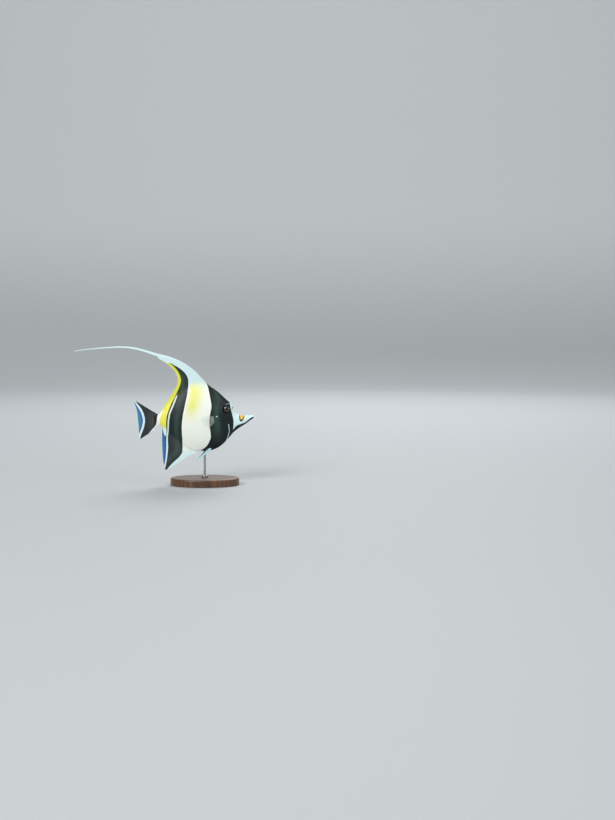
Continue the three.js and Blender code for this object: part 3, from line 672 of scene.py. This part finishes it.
def paintSkin(made, points, values):
    x, z = points[:, 0], points[:, 2]
    away = {name: sideDistance(line, x, z) for name, line in marks.items() if name not in ("gill", "mouth")}
    far = drawn["far"]
    onStreamer = (x < streamer["whiteX"]) & (z > streamer["above"])
    onTail = (x < drawn["tailX"]) & (z < drawn["tailTop"])
    sx, sz = saddle["at"]
    reach = np.hypot((x - sx + saddle["lean"] * (sz - z)) / saddle["halfLength"],
                     np.minimum(z - sz, 0) / saddle["depth"])
    inSaddle = (1 - reach) * saddle["halfLength"]
    white = np.where(onStreamer, far, np.minimum(-away["whiteFront"], away["whiteRear"]))
    face = np.minimum(away["faceEdge"], -away["chin"])
    yellow = np.minimum(np.minimum(-away["yellowFront"], away["tailEdge"]), away["fringeEdge"])
    yellow = np.where(onStreamer, -far, yellow)
    lineHalf = drawn["whiteLine"] * (1 - smooth(z, *drawn["whiteLineTop"]))
    lineHalf += drawn["lineFoot"] * (1 - smooth(z, *drawn["footTop"])) * smooth(z, *drawn["footEnd"])
    tips = smooth(np.abs(z - drawn["tailMiddle"]), *drawn["crescentTips"])
    crescent = mix(*drawn["crescent"], tips) - np.abs(away["tailCrescent"])
    whiteLines = np.maximum(lineHalf - np.abs(away["whiteLine"]), crescent)
    behindTail = np.where(onTail, -away["tailCrescent"] - drawn["crescentRear"], -far)
    onAnal = (x > drawn["analX"]) & (z < drawn["analTop"])
    behindAnal = np.where(onAnal, np.minimum(-away["fringeEdge"], bellyAt(x) - z), -far)
    fromFringe = -np.where(onTail, away["tailCrescent"], away["fringeEdge"])
    frontSheen = hill(x - drawn["frontSheenX"], drawn["frontSheen"]) * smooth(z, *drawn["frontSheenFoot"])
    rearSheen = hill(away["whiteRear"] + drawn["rearSheenIn"], drawn["rearSheen"]) * drawn["rearSheenShare"]
    wash = smooth(z, *drawn["washFoot"]) * (1 - smooth(z, *drawn["washTop"]))
    wash *= smooth(away["whiteRear"], *drawn["washRear"])
    wash *= 1 - smooth(away["whiteRear"], *drawn["washFront"])
    brow = np.minimum(drawn["browLine"] - np.abs(away["browLine"]), -drawn["browClear"] - face)
    fromNostril = np.minimum(*[np.hypot(x - nx, z - nz) for nx, nz in nostrils["at"]])
    # the pale spot at the pectoral fin's base is partly a painted highlight
    spotAndHighlightX, spotAndHighlightZ = ((part - at) / half for part, at, half in zip((x, z), drawn["spotAndHighlightAt"], drawn["spotAndHighlightHalf"]))
    addValues(
        made, ray=values[:, 0], fin=values[:, 1],
        whiteBand=white, face=face, saddle=inSaddle - saddle["line"], saddleEdge=np.minimum(inSaddle, face),
        yellow=yellow, whiteLines=whiteLines, fringe=np.maximum(behindTail, behindAnal),
        blueLines=np.maximum(drawn["cheekLine"] - np.abs(away["cheekLine"]), brow),
        nostril=1 - fromNostril / drawn["nostril"], finBaseSpot=1 - np.hypot(spotAndHighlightX, spotAndHighlightZ),
        bandSheen=np.clip(frontSheen + rearSheen, 0, 1), lemonWash=wash,
        coolness=np.maximum(smooth(z, *drawn["coolTop"]), 1 - smooth(z, *drawn["coolFoot"])),
        rootWhite=(1 - smooth(away["tailEdge"], *drawn["tailWhite"])) * (z < drawn["tailWhiteTop"]),
        finTop=smooth(z - backAt(x), *drawn["finTop"]), analPale=1 - smooth(z, *drawn["analPale"]),
        fringeFade=smooth(fromFringe, *drawn["fringeFade"]))


# The fins' roots are eased into the flank
rootEase = {"width": 1.5, "dorsalX": 14, "analX": -4, "leastWeight": 0.05, "factor": 0.5, "rounds": 10}


def easeRoots(made, points):
    x, z = points[:, 0], points[:, 2]
    above = hill(z - backAt(x), rootEase["width"]) * (x < rootEase["dorsalX"])
    below = hill(z - bellyAt(x), rootEase["width"]) * (x < rootEase["analX"])
    weight = np.maximum(above, below) * (x > body["peduncleX"])
    group = made.vertex_groups.new(name="finRoots")
    for index in np.flatnonzero(weight > rootEase["leastWeight"]).tolist():
        group.add([index], float(weight[index]), "REPLACE")
    ease = made.modifiers.new("easeFinRoots", "SMOOTH")
    ease.vertex_group = "finRoots"
    ease.factor = rootEase["factor"]
    ease.iterations = rootEase["rounds"]


points, values, quads = weldSheets(*makeSkin())
onStreamer = (points[:, 0] < streamer["line"][0][0]) & (points[:, 2] > streamer["above"])
sway = np.where(onStreamer, streamerSway(points[:, 0]), swayAt(points[:, 0]))
skin = objectFrom("idolSkin", toWorld(points, sway), quads, skinMaterial())
turnOutwards(skin)
paintSkin(skin, points, values)
easeRoots(skin, points)
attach(skin, "root")
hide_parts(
    "snout", "lower_jaw", "head", "trunk_shoulder", "trunk_flank", "trunk_rear", "tail_peduncle",
    "dorsal_fin_banner", "dorsal_fin_middle", "dorsal_fin_rear",
    "dorsal_streamer_1", "dorsal_streamer_2", "dorsal_streamer_3",
    "anal_fin_front", "anal_fin_rear", "caudal_fin")
print("skin made, %d points" % len(points))


# Paired fins

pectoral = {"root": (20.5, 54), "rootHeight": 5.4, "length": 27, "fanDown": 30, "fanUp": 17,
            "longest": 0.62, "roundness": 0.9, "scallop": 0.25, "flare": 30, "droop": 12, "sink": 2.5,
            "cup": 2.4, "rays": 18, "perRay": 8, "rows": 44,
            "ray": (0.42, 0.189), "membrane": (0.21, 0.0924), "taper": 0.6, "forks": (0.45, 0.8)}
pelvic = {"root": (9.4, 5.6), "rootLength": 5.5, "length": 35, "rearShare": 0.55, "spread": 8,
          "rearBow": 0.7, "tipWidth": 1.5, "flare": 13, "tilt": 0.35, "droop": 42, "sink": 1.2, "cup": 2.4,
          "rays": 6, "perRay": 10, "rows": 60, "ray": (0.5, 0.225), "membrane": (0.25, 0.11),
          "taper": 0.6, "forks": (0.45, 0.8)}
finLook = {
    "clear": linear(226, 236, 232), "clearRay": linear(200, 208, 192),
    "rayAlpha": 0.2, "rootAlpha": 0.3, "rimAlpha": 0.08,
    "black": linear(20, 31, 33), "blackRay": linear(58, 72, 72),
    "edge": linear(170, 210, 222), "edgeSpan": (0.4, 0.52),
}
sides = ((-1, "right"), (1, "left"))


def fanFin(name, side, along, across, outline, fin, material):
    along, across = along / np.linalg.norm(along), across / np.linalg.norm(across)
    normal = np.cross(along, across)
    normal /= np.linalg.norm(normal)
    columns = fin["rays"] * fin["perRay"]
    u = np.linspace(0, 1, columns + 1)[:, None]
    v = np.linspace(0, 1, fin["rows"] + 1)[None, :]
    reach, shift = outline(u, v)
    half, crest = rayHalf(u * fin["rays"] + 0.5, v, fin)
    rootX, rootZ = fin["root"]
    root = np.array([rootX, side * (flankDepth(rootX, rootZ) - fin["sink"]), rootZ])
    middle = root + reach[..., None] * along + shift[..., None] * across
    cup = fin["cup"] * (u - 0.5) ** 2 * v
    points = [(middle + (face * half + cup)[..., None] * normal).reshape(-1, 3) for face in (-1, 1)]
    index = np.arange(crest.size).reshape(crest.shape)
    quads = gridFaces(*crest.shape)
    faces = [quads, quads[:, ::-1] + crest.size]
    for edge in (index[0], index[-1], index[:, 0], index[:, -1]):
        faces.append(np.stack([edge[:-1], edge[1:], edge[1:] + crest.size, edge[:-1] + crest.size], -1))
    made = objectFrom(name, toWorld(np.vstack(points)), np.vstack(faces), material)
    turnOutwards(made)
    grids = {"ray": crest, "across": u + 0 * v, "reach": v + 0 * u}
    addValues(made, **{word: np.tile(grid.ravel(), 2) for word, grid in grids.items()})
    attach(made, "root")
    return made


def pectoralFin(side, name):
    flare, droop = math.radians(pectoral["flare"]), math.radians(pectoral["droop"])
    along = np.array([-math.cos(flare) * math.cos(droop), side * math.sin(flare), -math.sin(droop)])
    across = np.array([-math.sin(droop), 0, math.cos(droop)])

    def outline(u, v):
        fan = np.radians(mix(-pectoral["fanDown"], pectoral["fanUp"], u))
        scallop = pectoral["scallop"] * np.cos(2 * np.pi * u * pectoral["rays"] * 2) * v
        rounded = 1 - pectoral["roundness"] * (u - pectoral["longest"]) ** 2
        length = v * (pectoral["length"] * rounded - scallop)
        return length * np.cos(fan), length * np.sin(fan) + (u - 0.5) * pectoral["rootHeight"]
    return fanFin(name, side, along, across, outline, pectoral, clearFin)


def pelvicFin(side, name):
    flare, droop = math.radians(pelvic["flare"]), math.radians(pelvic["droop"])
    along = np.array([-math.cos(droop), side * math.tan(flare), -math.sin(droop)])
    across = np.array([math.sin(droop), side * pelvic["tilt"], -math.cos(droop)])

    def outline(u, v):
        length = pelvic["length"] * mix(pelvic["rearShare"], 1, u ** pelvic["rearBow"])
        blade = pelvic["spread"] * (1 - v) + pelvic["tipWidth"]
        return v * length, (u - 0.5) * mix(pelvic["rootLength"], blade, np.minimum(1, 2 * v))
    return fanFin(name, side, along, across, outline, pelvic, darkFin)


def clearFinMaterial():
    material, tree, shader, place = newMaterial("clearFin", {"Roughness": 0.3})
    ray = stored(tree, "ray")
    web = ramp(tree, stored(tree, "reach"), 0, 0.5, finLook["rootAlpha"], finLook["rimAlpha"])
    wire(tree, shader, {
        "Base Color": blend(tree, ray, finLook["clear"], finLook["clearRay"]),
        "Alpha": maths(tree, "ADD", maths(tree, "MULTIPLY", ray, finLook["rayAlpha"]), web),
        "Normal": bump(tree, noise(tree, place, 1800.0), 0.2)})
    return material


def darkFinMaterial():
    material, tree, shader, place = newMaterial("darkFin", {"Roughness": 0.4})
    ray = maths(tree, "MULTIPLY", stored(tree, "ray"), 0.5)
    web = blend(tree, ray, finLook["black"], finLook["blackRay"])
    edge = ramp(tree, stored(tree, "across"), *finLook["edgeSpan"])
    wire(tree, shader, {"Base Color": blend(tree, edge, web, finLook["edge"]),
                        "Normal": bump(tree, noise(tree, place, 1800.0), 0.25)})
    return material


clearFin, darkFin = clearFinMaterial(), darkFinMaterial()
for side, word in sides:
    made = pectoralFin(side, "pectoralFin" + word.capitalize())
    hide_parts("pectoral_fin_" + word)
    made = pelvicFin(side, "pelvicFin" + word.capitalize())
    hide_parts("pelvic_fin_" + word)
print("paired fins made")


# Eyes and the small horns before them

eyeLook = {
    "pupil": linear(4, 4, 6), "ring": linear(104, 78, 34), "iris": linear(17, 12, 10),
    "fleck": linear(36, 24, 15), "outer": linear(10, 10, 10),
    "pupilEdge": (0.48, 0.52), "ringEdge": (0.515, 0.575), "outerEdge": (0.72, 0.98),
}
hornLook = {"dark": linear(34, 42, 40), "light": linear(92, 98, 90)}


def eyeMaterial():
    look = eyeLook
    material, tree, shader, place = newMaterial(
        "wetEye", {"Roughness": 0.12, "Coat Weight": 1.0, "Coat Roughness": 0.03, "Coat IOR": 1.38})
    r = stored(tree, "ringPlace")
    flecks = ramp(tree, noise(tree, place, 1400.0, 3.0), 0.35, 0.65)
    colour = blend(tree, flecks, look["iris"], look["fleck"])
    colour = blend(tree, ramp(tree, r, *look["outerEdge"]), colour, look["outer"])
    colour = blend(tree, ramp(tree, r, *look["ringEdge"]), look["ring"], colour)
    colour = blend(tree, ramp(tree, r, *look["pupilEdge"]), look["pupil"], colour)
    wire(tree, shader, {"Base Color": colour})
    return material


def makeEye(side, name):
    x, z = eye["at"]
    centre = np.array([x, side * (flankDepth(x, z) + eye["proud"] - eye["bulge"]), z])
    rings, turns = eye["rings"] + 1, eye["turns"]
    polar = np.linspace(0, np.pi, rings)[:, None]
    turn = around(turns)
    px = np.sin(polar) * np.cos(turn) * eye["radius"]
    py = side * np.cos(polar) * eye["bulge"] + 0 * turn
    pz = np.sin(polar) * np.sin(turn) * eye["radius"]
    points = np.stack([px, py, pz], -1).reshape(-1, 3) + centre
    made = objectFrom(name, toWorld(points), tubeFaces(rings, turns), wetEye)
    addValues(made, ringPlace=np.repeat(np.sin(np.minimum(polar[:, 0], np.pi / 2)), turns))
    turnOutwards(made, weld=1e-7)
    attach(made, "root")
    return made


def boneMaterial():
    material, tree, shader, place = newMaterial("hornBone", {"Roughness": 0.5})
    grain = noise(tree, place, 1500.0, 3.0)
    colour = blend(tree, ramp(tree, grain, 0.3, 0.7), hornLook["dark"], hornLook["light"])
    wire(tree, shader, {"Base Color": colour, "Normal": bump(tree, grain, 0.3)})
    return material


def makeHorn(side, name):
    x, z = horn["at"]
    t = np.linspace(0, 1, horn["steps"] + 1)[:, None]
    turn = around(horn["turns"])
    radius = horn["radius"] * (1 - t) ** horn["bow"] + horn["girth"] * (1 - t)
    radius[-1] = horn["tipRadius"]
    up = (horn["length"] + horn["sunk"]) * t - horn["sunk"]
    px = radius * np.cos(turn)
    py = radius * np.sin(turn)
    lean, out = math.radians(horn["lean"]), side * math.radians(horn["splay"])
    forward = px * math.cos(lean) + up * math.sin(lean)
    height = -px * math.sin(lean) + up * math.cos(lean)
    points = np.stack([forward, py * math.cos(out) + height * math.sin(out),
                       height * math.cos(out) - py * math.sin(out)], -1).reshape(-1, 3)
    points += np.array([x, side * (flankDepth(x, z) - horn["inset"]), z])
    made = closedTube(name, toWorld(points), horn["steps"] + 1, horn["turns"], hornBone)
    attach(made, "root")
    return made


wetEye, hornBone = eyeMaterial(), boneMaterial()
for side, word in sides:
    made = makeEye(side, "eye" + word.capitalize())
    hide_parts("eye_" + word)
    made = makeHorn(side, "horn" + word.capitalize())
    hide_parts("horn_" + word)
print("eyes and horns made")


# The stand

stand = {
    "edgeRound": 2.4, "foot": 0.8, "topRim": 2.2, "collarFoot": 0.2, "collarBevel": 0.9, "collarWall": 1.6,
    "turns": 160, "rodTurns": 48, "collarTurns": 64, "sharpAngle": 40,
    "woodDark": linear(70, 45, 29), "woodLight": linear(112, 75, 48), "woodPore": linear(44, 28, 18),
    "steelDark": linear(168, 170, 174), "steelLight": linear(190, 192, 196),
}


def woodMaterial():
    material, tree, shader, place = newMaterial(
        "standWood", {"Roughness": 0.4, "Coat Weight": 0.25, "Coat Roughness": 0.2})
    long = stretched(tree, place, 6, 60, 60)
    flow = noise(tree, long, 1.2, 4.0, 0.6)
    rings = put(tree, "TexWave", {"Vector": long, "Scale": 1.6, "Distortion": 5.0, "Detail": 3.0,
                                  "Detail Scale": 1.2}, bands_direction="Y").outputs[1]
    pores = noise(tree, stretched(tree, place, 60, 1500, 1500), 1.0)
    tone = maths(tree, "ADD", maths(tree, "MULTIPLY", rings, 0.6), maths(tree, "MULTIPLY", flow, 0.5))
    colour = blend(tree, ramp(tree, tone, 0.1, 1.1), stand["woodDark"], stand["woodLight"])
    colour = blend(tree, ramp(tree, pores, 0.55, 0.75, 0, 0.4), colour, stand["woodPore"])
    wire(tree, shader, {"Base Color": colour, "Normal": bump(tree, pores, 0.12, 0.0002),
                        "Roughness": ramp(tree, flow, 0.3, 0.7, 0.34, 0.48)})
    return material


def steelMaterial():
    material, tree, shader, place = newMaterial("standSteel", {"Metallic": 1.0, "Roughness": 0.3})
    lines = noise(tree, stretched(tree, place, 400, 400, 9000), 1.0)
    wire(tree, shader, {"Base Color": blend(tree, lines, stand["steelDark"], stand["steelLight"]),
                        "Normal": bump(tree, lines, 0.08),
                        "Roughness": ramp(tree, lines, 0.3, 0.7, 0.2, 0.38)})
    return material


# A round or oval turned piece, from how far each ring stands in from its outline and how high, in metres
def turnedPiece(name, insets, heights, turns, halfLong, halfWide, material):
    turn = around(turns)
    inset = np.array(insets)[:, None]
    points = np.stack([(halfLong - inset) * np.cos(turn), (halfWide - inset) * np.sin(turn),
                       np.array(heights)[:, None] + 0 * turn], -1).reshape(-1, 3)
    made = closedTube(name, points, len(insets), turns, material)
    made.data.set_sharp_from_angle(angle=math.radians(stand["sharpAngle"]))
    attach(made, "root")
    return made


def makeStand():
    bow = np.linspace(0, np.pi / 2, 9)
    steel = steelMaterial()
    low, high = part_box("stand_base")
    soft, foot = stand["edgeRound"] * mm, stand["foot"] * mm
    insets = [foot, 0, 0] + list(soft * (1 - np.cos(bow))) + [soft * stand["topRim"]]
    heights = [0, foot, high.z * 0.5] + list(high.z - soft + soft * np.sin(bow)) + [high.z]
    halfLong, halfWide = (high.x - low.x) / 2, (high.y - low.y) / 2
    base = turnedPiece("standBase", insets, heights, stand["turns"], halfLong, halfWide, woodMaterial())
    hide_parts("stand_base")

    low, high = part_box("stand_rod")
    radius = (high.x - low.x) / 2
    top = min(high.z, bellyHeight)
    heights = [low.z, (low.z + top) / 2, top]
    rod = turnedPiece("standRod", [0, 0, 0], heights, stand["rodTurns"], radius, radius, steel)
    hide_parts("stand_rod")

    low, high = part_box("stand_collar")
    outer = (high.x - low.x) / 2
    bevel, foot = stand["collarBevel"] * mm, stand["collarFoot"] * mm
    insets = [foot, 0, 0] + list(bevel * (1 - np.cos(bow))) + [outer - radius]
    heights = [low.z, low.z + foot, high.z - stand["collarWall"] * mm]
    heights += list(high.z - bevel + bevel * np.sin(bow)) + [high.z]
    collar = turnedPiece("standCollar", insets, heights, stand["collarTurns"], outer, outer, steel)
    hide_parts("stand_collar")


makeStand()
print("stand made")


# Floor, light and camera

studio = {
    "floor": linear(176, 181, 183), "wall": linear(206, 210, 212), "wallFrom": 0.9,
    "floorRadius": 3.0, "coveRadius": 2.4, "wallTop": 2.9, "turns": 96,
    "fishAim": (0, 0, 0.12), "wallAim": (0, 5.2, 0.9),
    "lights": [  # place, aim, size, watts, colour
        ("keyLight", (-1.4, -2.3, 1.75), "fishAim", 1.3, 61, (1.0, 0.99, 0.97)),
        ("fillLight", (2.1, -1.6, 1.3), "fishAim", 1.8, 19, (0.95, 0.985, 1.0)),
        ("rimLight", (0.5, 2.2, 2.0), "fishAim", 1.6, 36, (0.98, 0.99, 1.0)),
        ("topLight", (0.0, 0.0, 2.8), "fishAim", 1.8, 15, (1.0, 1.0, 1.0)),
        ("wallLight", (0.0, 2.0, 3.4), "wallAim", 3.0, 50, (1.0, 1.0, 1.0))],
    "sky": (0.97, 0.985, 1.0, 1), "skyStrength": 0.36,
}
photo = {
    "width": 615, "height": 820, "fishZero": (204.5, 451.0), "mmPerPixel": 1.625,
    "distance": 2.0, "pitch": 4.0, "sensor": 36,
}


def makeFloor():
    flat, cove, turns = studio["floorRadius"], studio["coveRadius"], studio["turns"]
    bow = np.linspace(0, np.pi / 2, 17)[1:]
    radii = np.array([0.001, 0.5, 1.0, 2.0, flat, *(flat + cove * np.sin(bow)), flat + cove])[:, None]
    heights = np.array([0] * 5 + [*(cove * (1 - np.cos(bow))), studio["wallTop"]])[:, None]
    turn = around(turns)
    points = np.stack([radii * np.cos(turn), radii * np.sin(turn), heights + 0 * turn], -1).reshape(-1, 3)
    material, tree, shader, place = newMaterial("paleFloor", {"Roughness": 0.7})
    height = put(tree, "SeparateXYZ", {"Vector": place}).outputs[2]
    rise = ramp(tree, height, 0.0, studio["wallFrom"])
    wire(tree, shader, {"Base Color": blend(tree, rise, studio["floor"], studio["wall"])})
    floor = objectFrom("studioFloor", points, tubeFaces(len(radii), turns), material)


def aimedAt(made, place, aim):
    made.location = place
    made.rotation_euler = (Vector(aim) - Vector(place)).to_track_quat("-Z", "Y").to_euler()
    bpy.context.scene.collection.objects.link(made)


def makeLights():
    for name, place, aim, size, watts, colour in studio["lights"]:
        data = bpy.data.lights.new(name, "AREA")
        data.shape = "DISK"
        data.size = size
        data.energy = watts
        data.color = colour
        aimedAt(bpy.data.objects.new(name, data), place, studio[aim])
    world = bpy.data.worlds.new("paleSky")
    world.use_nodes = True
    sky = world.node_tree.nodes["Background"]
    sky.inputs["Color"].default_value = studio["sky"]
    sky.inputs["Strength"].default_value = studio["skyStrength"]
    bpy.context.scene.world = world
    bpy.context.scene.view_settings.view_transform = "Standard"


def makeCamera():
    scale = photo["mmPerPixel"] * mm
    zeroX, zeroY = photo["fishZero"]
    right = (photo["width"] / 2 - zeroX) * scale
    aim = Vector((right, 0, bellyHeight + (zeroY - photo["height"] / 2) * scale))
    pitch = math.radians(photo["pitch"])
    data = bpy.data.cameras.new("photoCamera")
    data.sensor_width = photo["sensor"]
    data.lens = photo["distance"] / scale / photo["height"] * data.sensor_width
    camera = bpy.data.objects.new("photoCamera", data)
    aimedAt(camera, aim + photo["distance"] * Vector((0, -math.cos(pitch), math.sin(pitch))), aim)
    bpy.context.scene.camera = camera


makeFloor()
makeLights()
makeCamera()
print("studio made")
